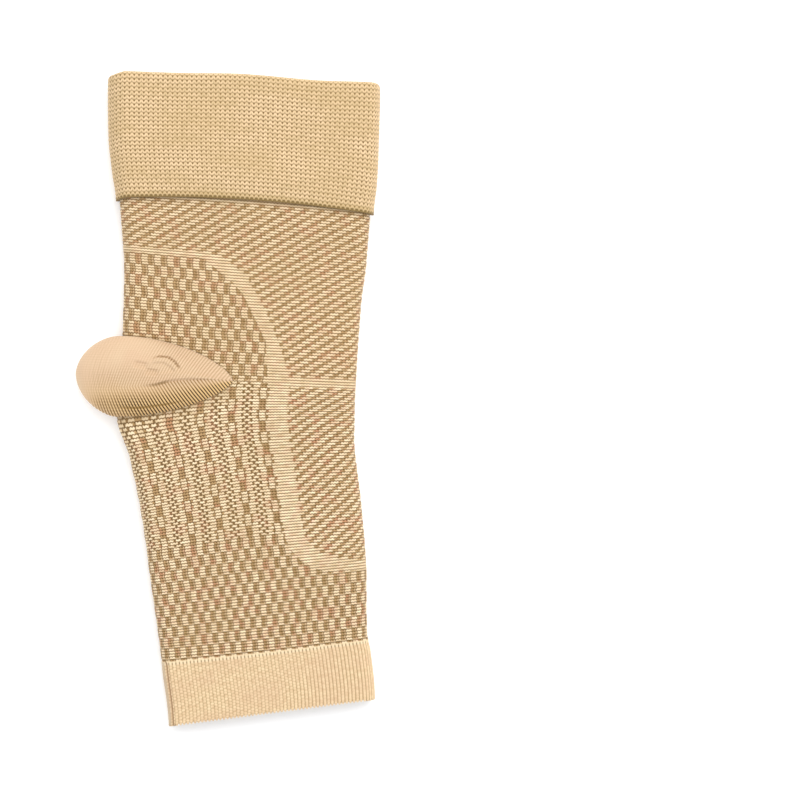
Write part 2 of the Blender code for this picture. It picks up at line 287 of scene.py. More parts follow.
def knit_sheet(name, points, wale, course, shade, tube=True):
    """One closed piece of knit from rings of points, the last ring joined to the first. Each
    point keeps the wale and the course that it lies on, and how much painted shade its knit
    gets there: full painted shade on the inner side. A piece that is no tube has its two ends
    drawn together instead."""
    rings, columns = points.shape[:2]
    if not tube:
        columns -= 1
    bpy.ops.mesh.primitive_grid_add(x_subdivisions=columns, y_subdivisions=rings, size=1)
    piece = bpy.context.object
    piece.name = name
    mesh = piece.data
    mesh.name = name

    def closed(values):
        values = np.concatenate([values, values[:1]])
        return np.concatenate([values, values[:, :1]], axis=1) if tube else values

    place = closed(points) + (BRACE_X, BRACE_Y, 0)
    mesh.vertices.foreach_set("co", (place * MILLIMETRE).ravel())
    corner = np.zeros(len(mesh.loops), int)
    mesh.loops.foreach_get("vertex_index", corner)
    chart = np.stack([closed(wale), closed(course)], axis=-1).reshape(-1, 2)
    for old in list(mesh.uv_layers):
        mesh.uv_layers.remove(old)
    mesh.uv_layers.new(name="stitches").data.foreach_set("uv", chart[corner].ravel())
    painted_shade = mesh.attributes.new("shade", "FLOAT", "POINT")
    painted_shade.data.foreach_set("value", closed(shade).ravel())
    bpy.ops.object.mode_set(mode="EDIT")
    bpy.ops.mesh.select_all(action="SELECT")
    bpy.ops.mesh.remove_doubles(threshold=0.004 * MILLIMETRE)
    bpy.ops.mesh.normals_make_consistent(inside=False)
    bpy.ops.mesh.select_all(action="DESELECT")
    bpy.ops.object.mode_set(mode="OBJECT")
    bpy.ops.object.shade_smooth()
    return piece


def wales_round(above, below):
    """The places of a mesh's columns in wales: this many to a wale above and underneath."""
    top = np.arange(WALES * above) / above
    return np.append(top, WALES + np.arange(WALES * below) / below)


def face_wale(wales):
    """The wale as counted from the back fold on either face."""
    return np.where(wales > WALES, 2 * WALES - wales, wales)


def plain_stitch(wale, course):
    """Height of plain knit, where each stitch is a V of two leaning legs of yarn."""
    leg = abs(part(wale) - 0.5) * 2
    thread = ridge(part(course - 0.55 * leg))
    gap = 0.6 * (1 - thread**1.3)
    notch = (1 - thread**2.4) * rise(leg, 0.65, 0.15)
    return 1 - most(gap, notch) - 0.24 * (1 - gap) * rise(leg, 0.5, 1.0)


def mottle(wale, course, across, down):
    """Soft random values about 0.5, in spots of this many wales and courses."""
    spot = wale.node("CombineXYZ", values={0: wale / across, 1: course / down})
    cloud = spot.node("TexNoise", values={"Vector": spot, "Scale": 1.0, "Detail": 1.0})
    return rise(cloud, 0.3, 0.7)


def mix(first, second, share):
    """One colour, or wire of a colour, laid over another by the share that a wire holds."""
    first, second = (c if isinstance(c, Wire) else (*c, 1) for c in (first, second))
    return share.node("Mix", {"data_type": "RGBA"}, {0: share, 6: first, 7: second}, out=2)


def coordinates(place):
    """The first two coordinates of a wire that holds a place."""
    return [place.node("SeparateXYZ", values={"Vector": place}, out=k) for k in (0, 1)]


def yarn_material(name, sheen=0.15):
    """A new knit material, and the wires of its wale and course."""
    material = bpy.data.materials.new(name)
    material.use_nodes = True
    shader = material.node_tree.nodes["Principled BSDF"]
    shader.inputs["Specular IOR Level"].default_value = 0.25
    shader.inputs["Sheen Weight"].default_value = sheen
    shader.inputs["Sheen Roughness"].default_value = 0.4
    chart = Wire(material.node_tree, None).node("UVMap", {"uv_map": "stitches"})
    return material, *coordinates(chart)


def dress(piece, material, colour, height, roughness):
    """Joins the colour, the fine relief and the roughness to the material's shader, and gives it
    to the piece. The inner side is plainer, since only the backs of the stitches show there, and
    is painted darker as shade inside the tube. The knit beside the heel's seam and under the
    cuff's edge is darkened by painted shadow."""
    # The shade attribute paints shade and shadow into the colour.
    shade = colour.node("Attribute", {"attribute_name": "shade"}, out=2)
    bump = {"Height": height, "Strength": 0.6, "Distance": 0.2 * MILLIMETRE}
    looks = {
        "Base Color": mix(colour, INNER_SHADE, shade * 0.6),
        "Normal": height.node("Bump", values=bump),
        "Roughness": roughness,
    }
    shader = material.node_tree.nodes["Principled BSDF"]
    for name, wire in looks.items():
        material.node_tree.links.new(wire.socket, shader.inputs[name])
    piece.data.materials.append(material)


def cuff_bend(x, along):
    """The cuff's lower edge bows up in its middle, and its corners turn down at the back fold.
    Its upper edge has a slight wave."""
    low = 1 - rise(along, CUFF_SEAM, CUFF_TOP)
    bow = CUFF_BOW * (1 - ((x + 6) / 46) ** 2)
    wave = 0.8 * np.exp(-(((x + 2) / 17) ** 2)) - 0.3 * np.exp(-(((x - 27) / 11) ** 2))
    return low * bow + (1 - low) * wave - 1.5 * rise(-x, 41, 49)


def cuff_layer(start, end, count, inset):
    """Rows of one plain side of a layer of the cuff: along, inset, share of relief, and one
    where the side is an inner one."""
    return [(place, inset, 0.0, 1.0) for place in np.linspace(start, end, count)]


def cuff_fold(radius, turns, relief):
    """Rows round the cuff's top edge, at this distance from the middle of its fold."""
    places = [CUFF_FOLD_START + radius * math.sin(turn) for turn in turns]
    insets = [CUFF_FOLD - radius * math.cos(turn) for turn in turns]
    return [(place, inset, relief, 1 - relief) for place, inset in zip(places, insets)]


# The rows run up the outside, over the fold, down the inside and back between the two layers.
outer_rows = int((CUFF_FOLD_START - CUFF_SEAM) / CUFF_COURSE * CUFF_STEPS)
rows = [(CUFF_SEAM + CUFF_COURSE * k / CUFF_STEPS, 0.0, 1.0, 0.0) for k in range(outer_rows)]
rows += cuff_fold(CUFF_FOLD, np.linspace(0, math.pi, 12), 1.0)
rows += cuff_layer(CUFF_FOLD_START, CUFF_SEAM, 10, 2 * CUFF_FOLD)[1:]
rows += cuff_layer(CUFF_SEAM, CUFF_FOLD_START, 5, CUFF_INNER_INSET)[:-1]
rows += cuff_fold(CUFF_FOLD - CUFF_LAYER, np.linspace(math.pi, 0, 5), 0.0)
rows += cuff_layer(CUFF_FOLD_START, CUFF_SEAM, 5, CUFF_LAYER)[1:]
cuff_wales = wales_round(CUFF_STEPS, 3)
along, inset, relief, inner = (np.array(row)[:, None] + 0 * cuff_wales for row in zip(*rows))
wale = face_wale(cuff_wales)[None, :] + 0 * along
course = (along - CUFF_SEAM) / CUFF_COURSE
inset = inset + relief * STITCH_DEPTH * (1 - plain_stitch(wale, course))
along = along + cuff_bend(read_skin(CUFF_SHAPE, cuff_wales, along)[0], along)
points = tube_points(CUFF_SHAPE, cuff_wales, along, inset)
cuff = knit_sheet("leg_cuff_knit", points, wale, course, inner)
material, wale, course = yarn_material("cuff_yarn")
stitch = plain_stitch(wale, course)
# Painted shade: dark dots in the gaps of the linking seam, one to a wale, and a shadow line along
# the cuff's lower edge.
linking = rise(course, 0.85, 0.5) * rise(ridge(part(wale + 0.5)), 0.3, 0.8)
colour = mix(CUFF_YARN, CUFF_SHADE, mottle(wale, course, 1.3, 0.9) * 0.45)
# Painted shade in the gaps between the legs of the stitches.
colour = mix(colour, CUFF_GAP_SHADE, rise(stitch, 0.88, 0.08))
colour = mix(colour, CUFF_OLIVE, mottle(wale, course, 15, 6) * 0.3)
# Painted shade: the lowest courses are darker along the cuff's lower edge, where it steps down to
# the leg.
colour = mix(colour, CUFF_EDGE_SHADE, rise(course, 2.2, 0.2) * 0.5)
colour = mix(colour, LINKING_SHADE, most(linking, rise(course, 0.2, 0.05)) * 0.8)
dress(cuff, material, colour, stitch, 0.8 + 0.12 * (1 - stitch))
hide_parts("leg_cuff")
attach(cuff, "root")

# Leg sleeve: knitted in one with the foot, from a tan ground yarn and a light yarn that floats
# over it in bars. The bars make a twill over the shin, and blocks round the ankle bone, and
# the sleeve opens below at the back for the heel.
ANKLE_LINE = 116.9
ANKLE_WIDTH = 83.1
BODY_ROLL = 4.8
BODY_WALL = 1.1
BODY_DEPTH = 0.34
LEG_COURSE = 0.987
LEG_COURSES = (CUFF_SEAM - ANKLE_LINE) / LEG_COURSE
# In courses: how far the leg goes up inside the cuff, where its relief starts there, and how
# far the leg and the foot run into each other at the ankle line.
LEG_LAP = 6.0
RELIEF_TOP = -4
ANKLE_LAP = 0.3
INNER_ROWS = 12
TUBE_SHAPE = np.array([
    (0.0, 11.8, 73.4, 7.4, 0.0, 9.4, 3.2),
    (18.3, 9.9, 73.8, 6.3, 0.0, 9.4, 3.6),
    (21.5, 9.4, 73.4, 6.0, 0.0, 9.4, 3.6),
    (51.1, 6.9, 76.6, 3.9, 0.0, 9.9, BODY_ROLL),
    (73.0, 4.4, 77.9, 3.0, 0.0, 10.2, BODY_ROLL),
    (92.1, 1.2, 79.9, 1.5, 0.0, 10.2, BODY_ROLL),
    (103.5, -0.8, 83.9, 0.4, 0.0, 10.2, BODY_ROLL),
    (ANKLE_LINE, 0.0, ANKLE_WIDTH, -0.75, 0.0, 10.2, BODY_ROLL),
    (145.7, 1.5, 84.0, -1.6, 0.0, 10.2, BODY_ROLL),
    (160.4, 2.4, 85.9, -2.1, 0.0, 10.2, BODY_ROLL),
    (175.5, 2.4, 88.2, -2.9, 1.2, 11.4, 4.9),
    (CUFF_SEAM, 2.35, 88.5, -2.9, 1.3, 11.5, 4.9),
    (186.0, 2.25, 90.5, -2.9, 1.3, 11.75, 5.4),
])
HEEL_OPENING_DEPTH = 39.9
HEEL_OPENING_UPPER = 14.6
HEEL_OPENING_LOWER = 12.2
HEEL_OPENING_TIP = HEEL_OPENING_DEPTH - ANKLE_WIDTH / 2
HEEL_LIP_POWER = 0.74
# How the courses climb to the left and to the right of the middle, at places along the tube.
COURSE_CLIMB = np.array([
    (0.0, 0.0, 0.0),
    (21.5, -0.01, 0.02),
    (36.0, 0.041, 0.040),
    (52.0, 0.070, 0.030),
    (71.0, 0.101, 0.025),
    (92.0, 0.154, 0.028),
    (102.0, 0.150, 0.020),
    (110.0, 0.080, -0.010),
    (ANKLE_LINE, 0.0, -0.030),
    (133.0, -0.062, -0.015),
    (145.0, -0.075, 0.0),
    (165.0, -0.035, -0.025),
    (CUFF_SEAM, -0.010, -0.030),
])
# How many wales the twill, the blocks and the ribs take to come again, what share of that the
# bars of light yarn cover, and the wale where the blocks and the ribs start.
TWILL = 3.43
TWILL_SHARE = 0.57
BLOCK = 3.06
BLOCK_SHARE = 0.49
BLOCK_START = 10.83
BLOCK_ROWS = 4
RIB = 0.765
RIB_START = 0.12
# Course and wale of the two edges of the light border round the ankle bone.
ANKLE_INNER = ((19.5, 21.5), (24, 25.5), (28, 29.5), (32, 31.8), (36, 33.4), (44, 36.4),
               (48, 37.8), (53, 38.2), (62, 38.8))
ANKLE_OUTER = ((17.5, 22), (18.5, 26), (20, 27.6), (22, 29.4), (24, 31.6), (28, 33.3),
               (32, 35.3), (36, 37), (40, 38.3), (44, 39.6), (48, 41), (53, 42.2), (58, 43.6),
               (62, 44.2))
# The first course of the twill, of the border, of the blocks and their rows, and of the light
# line at the ankle.
TWILL_TOP = -1.0
BORDER_TOP = 17.5
BLOCKS_TOP = 19.6
FIRST_BLOCK = 20
ANKLE_BORDER = 59.8
LEG_SHADE_REACH = 0.8
LEG_LIGHT = (0.87, 0.675, 0.44)
LIGHT_SHADE = (0.66, 0.48, 0.275)
TAN_YARN = (0.50, 0.315, 0.15)
TAN_SHADE = (0.38, 0.23, 0.10)
FIGURE_GAP_SHADE = (0.085, 0.042, 0.01)
BLUSH = (0.54, 0.26, 0.14)
BODY_OLIVE = (0.33, 0.23, 0.085)
LEG_BLUSH = 0.5
LEG_GAP_SHADE_SHARE = 0.85


def body_bend(x, along):
    """How far a course runs above or below the straight line of its place along the tube."""
    climb = smooth_table(COURSE_CLIMB, along.ravel()).reshape(*along.shape, -1)
    ease = 5.0
    right = ease * np.log1p(np.exp(x / ease))
    left = -ease * np.log1p(np.exp(-x / ease))
    return climb[..., 1] * left + climb[..., 2] * right


def across_ankle(wales):
    """How far across each wale lies at the ankle line."""
    return read_skin(TUBE_SHAPE, wales, np.full((1, len(wales)), ANKLE_LINE))[0][0]


def heel_opening_share(wales):
    """How far the heel opening gapes at a wale: nothing at its tips, all at the back fold."""
    share = np.clip((HEEL_OPENING_TIP - across_ankle(wales)) / HEEL_OPENING_DEPTH, 0, 1)
    return (1 - (1 - share) ** 2) ** HEEL_LIP_POWER


def body_rings(wales, start, pitch, rows, limit, upward):
    """The rings of one part of the sleeve: its outer courses, and a few rows of its inner side.
    Courses are counted down from start, and a course that runs into the limit stops there."""
    outer = np.array(rows)
    inner = np.linspace(rows[-1], rows[0], INNER_ROWS)
    course = np.append(outer, inner)[:, None] + 0 * wales
    along = start - pitch * course
    along = along + body_bend(read_skin(TUBE_SHAPE, wales, along)[0], along)
    ends = [np.interp(-end, -along[: len(rows), j], outer) for j, end in enumerate(limit)]
    course = np.minimum(course, ends) if upward else np.maximum(course, ends)
    along = np.maximum(along, limit) if upward else np.minimum(along, limit)
    side = np.append(0 * outer, 0 * inner + 1)[:, None] + 0 * wales
    return course, along, side


def whole(x):
    return x.maths("FLOOR", x) if isinstance(x, Wire) else np.floor(x)


def over(x, y):
    """One where x is more than y, and nought elsewhere."""
    return x.maths("GREATER_THAN", x, y) if isinstance(x, Wire) else (x > y) * 1.0


def line_through(x, places):
    """The height at x of a line drawn straight from place to place, for heights of 0 to 64."""
    if not isinstance(x, Wire):
        return np.interp(x, *zip(*places))
    first, last = places[0][0], places[-1][0]
    stops = [((place - first) / (last - first), height / 64) for place, height in places]
    return x.node("ValToRGB", {"stops": stops}, {0: (x - first) / (last - first)}) * 64


def stroke(x, at, half):
    """One where x is at this value, and nought from a little over half a width away."""
    return rise(abs(x - at), half * 1.3, half * 0.5)


def bar(place, reach):
    """One inside a bar of light yarn and nought outside it. Place runs from 0 to 1 over a bar
    and the gap after it, and reach is the bar's share."""
    return 1 - rise(abs(place - 0.5) * 2, reach - 0.06, reach + 0.07)


def twill(wale, course):
    """Bars of light yarn that step one wale to the left with each course down."""
    return bar(part((wale + whole(course)) / TWILL - 0.05), TWILL_SHARE)


def block_place(wale, row):
    """How far across its block a wale lies, with half a block's shift in each next row."""
    return part((wale - BLOCK_START) / BLOCK + 0.5 + whole(row) * 0.5)


def blocks(wale, course, start):
    """Blocks of four light bars, in rows from the start."""
    return bar(block_place(wale, (course - start) / BLOCK_ROWS), BLOCK_SHARE)


def block_lines(wale, course, start):
    """The lines of painted shade beside and above each block, and the slivers of light yarn
    between.
    """
    row = (course - start) / BLOCK_ROWS
    place = block_place(wale, row)
    sides = most(0.55 * stroke(place, 0.22, 0.035), 0.4 * stroke(place, 0.79, 0.03))
    roof = stroke(abs(part(row) - 0.5), 0.5, 0.055) * bar(place, 0.52)
    return most(sides, 0.8 * roof), 0.5 * stroke(place, 0.13, 0.035)


def leg_figure(wale, course):
    """Where the light yarn shows on the leg, and the lines of painted shade round the blocks."""
    inner = line_through(course, ANKLE_INNER)
    outer = line_through(course, ANKLE_OUTER)
    in_blocks = over(course, BLOCKS_TOP) * over(inner, wale)
    in_border = over(course, BORDER_TOP) * over(outer, wale)
    in_border = most(most(in_border, over(course, ANKLE_BORDER)), 1 - over(course, TWILL_TOP))
    in_border = in_border * (1 - in_blocks)
    plain = twill(wale, course) * (1 - in_blocks)
    lines, slivers = block_lines(wale, course, FIRST_BLOCK)
    in_rows = in_blocks * most(slivers, blocks(wale, course, FIRST_BLOCK))
    return most(most(plain, in_border), in_rows), in_blocks * lines


def settled(wale, course):
    """The wale and course where the yarn really lies: each thread dips between the ribs, and
    each course lies a little to one side."""
    course = course + 0.24 * (ridge(part((wale - RIB_START) / RIB)) - 0.5)
    return wale + (part(whole(course) * 0.618) - 0.5) * 0.26, course


def figured_knit(figure, wale, course):
    """Height, light yarn and painted shade of the figured knit: bars of light yarn lie proud in
    the courses, and small stitches of tan yarn show between them. The shade is painted in the
    gaps between the threads and the ribs and along the lines of the figure."""
    wale, course = settled(wale, course)
    light, grid = figure(wale, course)
    thread = ridge(part(course))
    beside = ridge(part((wale - RIB_START) / RIB))
    gap = rise(thread, 0.7, 0.15)
    dots = rise(beside, 1.0, 0.6) * rise(thread, 1.0, 0.55) * (1 - 0.35 * light)
    painted_shade = most(most(grid, dots), gap * 0.85)
    tan = 0.12 + 0.3 * beside * thread
    height = tan + light * (0.2 + 0.65 * thread - tan * 0.6)
    height = height * (1 - 0.5 * grid) * (1 - 0.3 * dots)
    return height, light * rise(thread, 0.2, 0.9) * (1 - 0.5 * dots), painted_shade


def dress_figured(piece, name, figure, light_yarn, blush_share, gap_shade_share):
    """Gives the piece the two-yarn knit's material, from where the light yarn shows."""
    material, wale, course = yarn_material(name)
    height, bright, painted_shade = figured_knit(figure, wale, course)
    blush = rise(mottle(wale + 31, course, 3.2, 4.5), 0.62, 0.95) * blush_share
    ground = mix(TAN_YARN, TAN_SHADE, mottle(wale, course, 1.7, 1.9))
    # Painted shade in the gaps between the threads and along the lines of the figure.
    ground = mix(mix(ground, BLUSH, blush), FIGURE_GAP_SHADE, painted_shade * gap_shade_share)
    thread = mix(light_yarn, LIGHT_SHADE, mottle(wale, course + 57, 2.3, 1.1) * 0.8)
    thread = mix(thread, BLUSH, blush * 0.25)
    colour = mix(ground, thread, bright)
    colour = mix(colour, BODY_OLIVE, mottle(wale, course, 19, 15) * 0.13)
    dress(piece, material, colour, height, 0.78 + 0.15 * (1 - height))


leg_wales = wales_round(4, 2)
gape = heel_opening_share(leg_wales)
limit = np.where(gape > 0, ANKLE_LINE + HEEL_OPENING_UPPER * gape, -math.inf)
thirds = np.arange(RELIEF_TOP * 3, LEG_COURSES * 3) / 3
rows = [-LEG_LAP, (RELIEF_TOP - LEG_LAP) / 2, *thirds, LEG_COURSES + ANKLE_LAP]
course, along, inner = body_rings(leg_wales, CUFF_SEAM, LEG_COURSE, rows, limit, True)
wale = face_wale(leg_wales)[None, :] + 0 * along
height, _, _ = figured_knit(leg_figure, wale, course)
relief = BODY_DEPTH * (1 - height) * (course > RELIEF_TOP - 0.1)
points = tube_points(TUBE_SHAPE, leg_wales, along, np.where(inner > 0, BODY_WALL, relief))
across = read_skin(TUBE_SHAPE, leg_wales, along)[0]
# Painted shadow on the leg under the cuff's edge and beside the heel pocket's upper seam, with
# painted shade on the inner side.
from_cuff = CUFF_SEAM + cuff_bend(across, CUFF_SEAM + 0 * along) - along
under_cuff = np.exp(-np.maximum(from_cuff, 0) / LEG_SHADE_REACH)
by_heel = np.exp(-np.maximum(along - limit, 0) / LEG_SHADE_REACH) * (gape > 0)
shade = np.maximum(inner, np.maximum(under_cuff, 0.7 * by_heel))
leg = knit_sheet("leg_knit", points, wale, course, shade)
dress_figured(leg, "leg_yarn", leg_figure, LEG_LIGHT, LEG_BLUSH, LEG_GAP_SHADE_SHARE)
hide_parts("leg_sleeve")
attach(leg, "root")

# Foot sleeve: goes on from the leg below the ankle line in the same two yarns. The twill runs
# down over the instep, beside it is an upright light border, and the arch has columns of small
# bars and diamonds, with blocks again below them down to the toe band.
BAND_TOP = 21.5
FOOT_COURSE = 1.009
FOOT_COURSES = (ANKLE_LINE - BAND_TOP) / FOOT_COURSE
# Course and wale of the two edges of the border beside the instep.
INSTEP_LEFT = ((0, 39.6), (56, 39.6), (60, 40.6), (64, 43.2), (67, 46), (69, 51), (69.8, 64))
INSTEP_RIGHT = ((0, 44), (54, 44.2), (59, 46), (62, 48.5), (64.5, 53), (65.7, 58), (66.2, 64))
INSTEP_TOP = 1.3
# The arch's columns come again after so many wales, and change sides from course to course.
ARCH_REPEAT = 7.5
ARCH_MIDDLE = 15.4
ARCH_TURN = 42
ARCH_END = 53.7
FOOT_SHADE_REACH = 1.1
FOOT_LIGHT = (0.93, 0.75, 0.51)
FOOT_BLUSH = 0.8
FOOT_GAP_SHADE_SHARE = 1.0


def foot_figure(wale, course):
    """Where the light yarn shows on the foot, and the painted shade of the blocks and the arch.
    """
    in_left = over(line_through(course, INSTEP_LEFT), wale)
    in_twill = over(wale, line_through(course, INSTEP_RIGHT)) * over(course, INSTEP_TOP)
    in_blocks = in_left * over(course, ARCH_END)
    in_arch = in_left * (1 - in_blocks)
    place = (wale - ARCH_MIDDLE) / ARCH_REPEAT + 0.5
    near = abs(part(place + 0.5) - 0.5) * ARCH_REPEAT
    turn = part((whole(place) + whole((course - ARCH_TURN) / BLOCK_ROWS)) * 0.5) * 2
    odd = part(whole(course) * 0.5) * 2
    column = rise(near, 2.95, 3.1) * turn
    dashes = rise(near + turn * (0.65 - 0.5 * odd), 2.95, 2.8)
    dashes = dashes * rise(near - 0.95 * odd, 0.3, 0.44)
    diamond = rise(near, 0.66, 0.5) * odd
    arch = most(column, most(dashes, diamond))
    border = (1 - in_left) * (1 - in_twill)
    lines, slivers = block_lines(wale, course, ARCH_END)
    light = most(in_twill * twill(wale, course), border)
    light = most(light, in_blocks * most(slivers, blocks(wale, course, ARCH_END)))
    flanks = most(0.5 * turn * stroke(near, 2.87, 0.14), 0.3 * stroke(near, 3.0, 0.12))
    dots = odd * stroke(near, 0.98, 0.2) + (1 - odd) * stroke(near, 0.1, 0.18)
    dots = dots * rise(ridge(part(course)), 0.2, 0.7)
    painted_shade = most(in_blocks * lines, in_arch * most(flanks, 0.7 * dots))
    return most(light, in_arch * arch), painted_shade


foot_wales = wales_round(3, 2)
gape = heel_opening_share(foot_wales)
limit = np.where(gape > 0, ANKLE_LINE - HEEL_OPENING_LOWER * gape, math.inf)
rows = [-ANKLE_LAP, *np.arange(0, FOOT_COURSES, 1 / 3), FOOT_COURSES]
course, along, inner = body_rings(foot_wales, ANKLE_LINE, FOOT_COURSE, rows, limit, False)
wale = face_wale(foot_wales)[None, :] + 0 * along
height, _, _ = figured_knit(foot_figure, wale, course)
inset = np.where(inner > 0, BODY_WALL, BODY_DEPTH * (1 - height))
points = tube_points(TUBE_SHAPE, foot_wales, along, inset)
# Painted shadow on the foot beside the heel pocket's lower seam, with painted shade on the inner
# side.
by_heel = 1.5 * np.exp(-np.maximum(limit - along, 0) / FOOT_SHADE_REACH)
by_heel = np.minimum(by_heel, 1) * (gape > 0)
foot = knit_sheet("foot_knit", points, wale, course, np.maximum(inner, by_heel))
dress_figured(foot, "foot_yarn", foot_figure, FOOT_LIGHT, FOOT_BLUSH, FOOT_GAP_SHADE_SHARE)
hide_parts("foot_sleeve")
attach(foot, "root")

# Foot band: the plain band at the toe end, of firmer knit with fine upright ribs. A row of
# picot loops joins it to the foot, a crease runs down beside its back fold, and its free
# edge is cast off in small scallops.
BAND_COURSES = 21
BAND_DEPTH = 0.24
CREASE_WALE = 4.1
CREASE_DEPTH = 0.55
SCALLOP = 0.9
BAND_YARN = (0.78, 0.59, 0.36)
BAND_SHADE = (0.62, 0.43, 0.245)
BAND_GAP_SHADE = (0.31, 0.20, 0.09)
BAND_BLUSH = (0.60, 0.375, 0.24)
BAND_FOLD_SHADE = (0.47, 0.385, 0.29)
BAND_CREASE_SHADE = (0.33, 0.17, 0.085)
PICOT_YARN = (0.82, 0.66, 0.43)
PICOT_GAP_SHADE = (0.13, 0.07, 0.02)


def band_knit(wale, course):
    """Height of the band's knit: upright ribs, crossed by a twill that fades to the right and
    towards the free edge."""
    rib = ridge(part(wale)) ** 0.6
    twill_share = rise(wale + 0.5 * course, 56, 38)
    slant = ridge(part(wale * 0.5 + course * 0.5)) ** 0.6
    stitch = ridge(part(course + 0.5 * whole(wale))) ** 0.5
    ribbed = rib * (0.65 + 0.35 * stitch)
    twilled = (0.4 + 0.6 * stitch) * (0.35 + 0.65 * rib) * (0.75 + 0.25 * slant)
    return ribbed + (twilled - ribbed) * twill_share


def picot(wale, course):
    """The loops along the band's top edge."""
    return rise(course, 1.3, 0.9) * ridge(part(wale)) ** 0.5


band_wales = wales_round(5, 3)
rows = np.arange(0, BAND_COURSES + 0.1, 1 / 4)
course = np.append(rows, np.linspace(BAND_COURSES, 0, 8))[:, None] + 0 * band_wales
wale = face_wale(band_wales)[None, :] + 0 * course
scallops = (1 - ridge(part(wale))) ** 0.6 * rise(course, BAND_COURSES - 1, BAND_COURSES)
along = BAND_TOP * (1 - course / BAND_COURSES) + SCALLOP * scallops
along = along + body_bend(read_skin(TUBE_SHAPE, band_wales, along)[0], along)
inner = (np.arange(len(along)) >= len(rows))[:, None] + 0 * band_wales
height = np.where(course > 1.2, band_knit(wale, course), picot(wale, course))
relief = BAND_DEPTH * (1 - height) + CREASE_DEPTH * stroke(wale, CREASE_WALE, 0.4)
inset = np.where(inner > 0, BODY_WALL, relief * rise(course, -0.1, 0.6))
points = tube_points(TUBE_SHAPE, band_wales, along, inset)
band = knit_sheet("foot_band_knit", points, wale, course, inner)
material, wale, course = yarn_material("band_yarn")
stitch = band_knit(wale, course)
on_top = rise(course, 1.3, 1.1)
dots = rise(ridge(part(wale)), 0.65, 0.25) * stroke(course, 0.8, 0.4)
fold = rise(wale, CREASE_WALE, CREASE_WALE - 1.5)
colour = mix(BAND_YARN, BAND_SHADE, mottle(wale, course, 1.4, 1.2) * 0.7)
# Painted shade in the low places of the band's knit.
colour = mix(colour, BAND_GAP_SHADE, rise(stitch, 0.85, 0.2) * 0.85 * (1 - on_top))
colour = mix(colour, BAND_BLUSH, mottle(wale, course, 14, 9) * 0.28)
colour = mix(colour, PICOT_YARN, on_top * picot(wale, course) * 0.7)
# Painted shade in the gaps between the picot loops.
colour = mix(colour, PICOT_GAP_SHADE, dots * 0.8)
# Painted shade on the band's side from its back fold to the crease, which faces away from the
# light.
colour = mix(colour, BAND_FOLD_SHADE, fold * 0.45)
# Painted shade in the crease.
colour = mix(colour, BAND_CREASE_SHADE, stroke(wale, CREASE_WALE, 0.35) * 0.6)
dress(band, material, colour, stitch, 0.8 + 0.12 * (1 - stitch))
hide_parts("foot_band")
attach(band, "root")

# Heel pocket: a pouch of plain fine knit, worked back and forth between the two lips of the
# heel opening. It puffs out at the back and has a fold down its middle, with ribs that slope
# away from the fold on both sides.
# A row of its table is: column, share of the reach, share of the loft.
HEEL_APEX = np.array([
    (0.0, 0.0, 0.60),
    (1.0, 0.16, 0.80),
    (2.0, 0.36, 0.95),
    (3.0, 0.60, 1.0),
    (4.0, 0.82, 0.90),
    (5.0, 0.96, 0.66),
    (6.0, 1.0, 0.40),
    (7.0, 0.97, 0.16),
    (8.0, 0.88, 0.02),
    (9.0, 0.60, 0.0),
    (10.0, 0.30, 0.0),
    (11.0, 0.0, 0.0),
])
HEEL_REACH = 55.4
HEEL_LOFT = 16.8
HEEL_LIFT = 1.4
HEEL_FULLNESS = 0.84
HEEL_OUTLINE = 1.1
HEEL_WALL = 1.1
HEEL_PROUD = 0.1
HEEL_SEAM_LAP = 0.35
HEEL_FLOOR = 0.03
FLAT_COLUMNS = 9
FOLD_COLUMNS = 4
HEEL_COLUMNS = 2 * (FLAT_COLUMNS + FOLD_COLUMNS)
HEEL_RIBS = 34
RIB_STEPS = 6
HEEL_COURSES = 60
HEEL_ROWS = 141
HEEL_LINING_STEP = 8
# The number of ribs to a millimetre at the pouch's tip and its growth towards the back, the
# lean of the ribs and its loss towards the back, and the height of their stitches.
RIB_RATE = 0.746
RIB_RATE_GAIN = 0.004
RIB_LEAN = 0.84
RIB_LEAN_LOSS = 0.012
RIB_STITCH = 1.05
HEEL_GROOVE = 0.42
# How far across the fold lies, at distances from the pouch's tip, all in millimetres.
HEEL_TIP_X = 1.9
FOLD_LINE = ((-3, 6.6), (0, 6.6), (10, 7.0), (20, 6.2), (30, 4.9), (44, 3.4), (62, 3.4))
# Rib, and place from lip to lip in hundredths, of the deep crease, the wrinkle and the tuck.
HEEL_FOLD = ((0, 50), (5, 52), (9, 54.5), (12, 58), (17, 60), (22, 61), (68, 56))
HEEL_WRINKLE = ((6.5, 40), (7.5, 36), (9.0, 30), (11.0, 26.5), (13.0, 29), (14.5, 35))
HEEL_TUCK = ((0, 95), (6, 91), (12, 87.5), (17, 85), (23, 82.5), (29, 80), (68, 80))
# Place from lip to lip, half length, rib and half width of two small hollows.
HEEL_HOLLOWS = ((0.42, 0.03, 16.5, 2.0), (0.47, 0.025, 13, 1.6))
FOLD_DEPTH = 0.3
WRINKLE_DEPTH = 0.6
TUCK_DEPTH = 0.5
HOLLOW_DEPTH = 0.6
PUFF_HEIGHT = 0.6
HEEL_YARN = (0.68, 0.49, 0.318)
HEEL_BLUSH = (0.64, 0.42, 0.27)
HEEL_PORE_SHADE = (0.42, 0.27, 0.15)
HEEL_UNDER = (0.76, 0.50, 0.21)
GROOVE_SHADE = (0.34, 0.20, 0.08)
DEEP_GROOVE_SHADE = (0.05, 0.018, 0.001)
TUCK_SHADE = (0.30, 0.17, 0.045)
FOLD_SHADE = (0.26, 0.15, 0.055)


